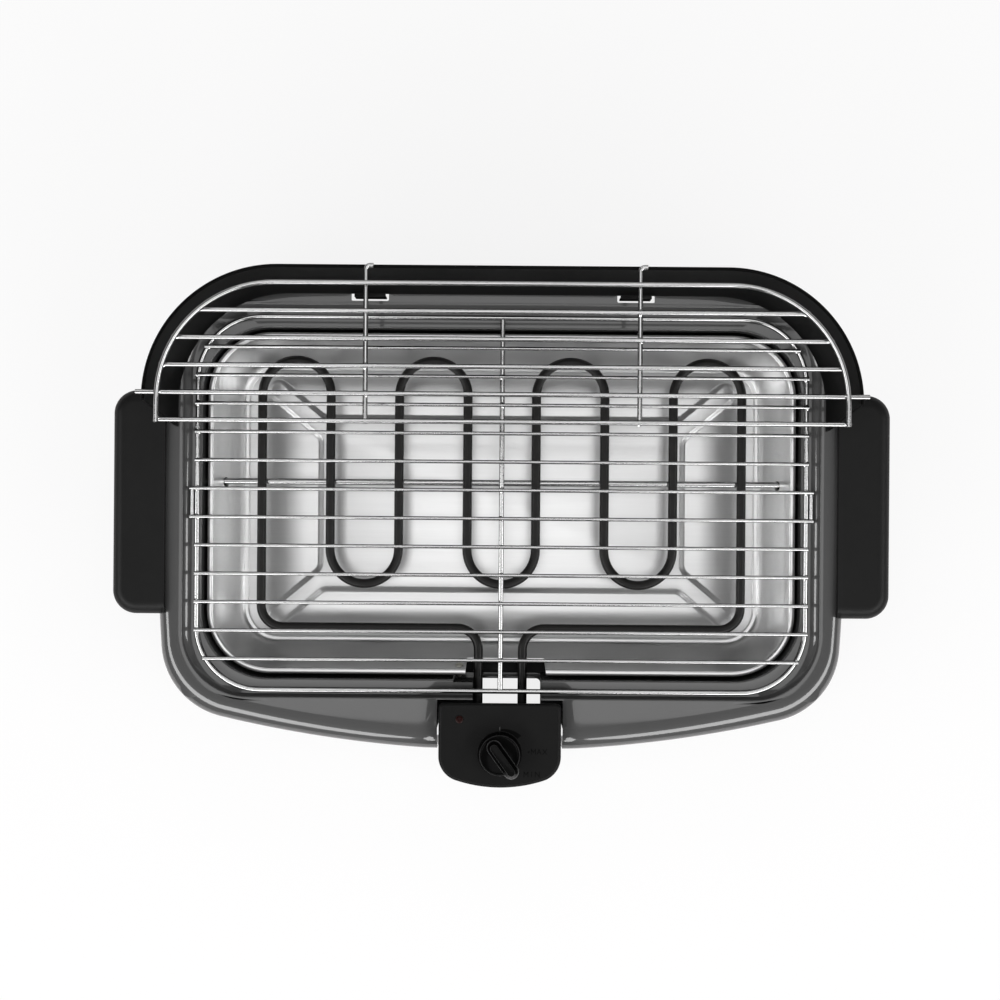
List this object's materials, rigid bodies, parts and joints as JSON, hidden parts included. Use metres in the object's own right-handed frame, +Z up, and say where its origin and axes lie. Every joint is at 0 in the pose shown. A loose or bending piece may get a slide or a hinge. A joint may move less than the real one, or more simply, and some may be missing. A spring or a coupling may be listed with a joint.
{
  "type": "electric table grill",
  "caption": "Open electric table grill with a wire grate over a tube heating element and drip tray, side handles, front control box, rear wind shield and a chromed warming rack.",
  "frame": {"origin": "middle of the footprint, on the table under the feet", "axes": "+X to the user's right, +Y towards the wind shield at the rear, +Z up"},
  "size_m": [0.497, 0.3319, 0.1493],
  "materials": {
    "base_grey": "glossy moulded grey plastic",
    "handle_black": "fine-grained matte black plastic",
    "control_black": "fine-grained matte black plastic",
    "knob_black": "smooth satin black plastic",
    "foot_rubber": "soft black rubber",
    "heat_plate_black": "matte black heat-proof enamel on steel",
    "tray_steel": "bright pressed steel sheet",
    "element_black": "oxidised black tube",
    "chrome_wire": "bright chromed wire",
    "shield_black": "satin black enamel on sheet steel",
    "zinc_steel": "plain zinc-plated steel",
    "ceramic_tan": "moulded heat-proof insulator",
    "lamp_red": "clear orange-red lens",
    "block_ivory": "moulded ivory insulator"
  },
  "bodies": {
    "base": {"base_shell": "base_grey", "heat_plate": "heat_plate_black", "feet": "foot_rubber", "left_handle": "handle_black", "right_handle": "handle_black", "handle_screws": "zinc_steel"},
    "tray": {"drip_tray": "tray_steel", "tray_screw": "zinc_steel", "support_rod": "zinc_steel"},
    "heater": {"heating_element": "element_black", "element_terminals": "zinc_steel", "control_cover": "control_black", "control_floor": "control_black", "control_screws": "zinc_steel", "thermostat_body": "ceramic_tan", "terminal_block": "block_ivory", "neon_lamp": "lamp_red", "lamp_lens": "lamp_red", "inlet_gland": "control_black"},
    "knob": {"knob_shaft": "zinc_steel", "control_knob": "knob_black"},
    "grate": {"grate_frame": "chrome_wire", "grate_cross_wires": "chrome_wire", "grate_centre_wire": "chrome_wire", "grate_lugs": "chrome_wire"},
    "shield": {"wind_shield": "shield_black"},
    "rack": {"rack_frame": "chrome_wire", "rack_cross_wires": "chrome_wire", "rack_hook_wires": "chrome_wire"}
  },
  "joints": [
    {"name": "tray_lift", "type": "slide", "parent": "base", "child": "tray", "axis": [0, 0, 1], "range_m": [0, 0.02]},
    {"name": "heater_lift", "type": "slide", "parent": "tray", "child": "heater", "axis": [0, 0, 1], "range_m": [0, 0.02]},
    {"name": "grate_lift", "type": "slide", "parent": "heater", "child": "grate", "axis": [0, 0, 1], "range_m": [0, 0.018]},
    {"name": "knob_turn", "type": "hinge", "parent": "heater", "child": "knob", "pos_m": [0, -0.144, 0.09], "axis": [0, 0, 1], "range_deg": [0, 250]},
    {"name": "shield_lift", "type": "slide", "parent": "base", "child": "shield", "axis": [0, 0, 1], "range_m": [0, 0.02]},
    {"name": "rack_lift", "type": "slide", "parent": "shield", "child": "rack", "axis": [0, 0, 1], "range_m": [0, 0.03]}
  ]
}
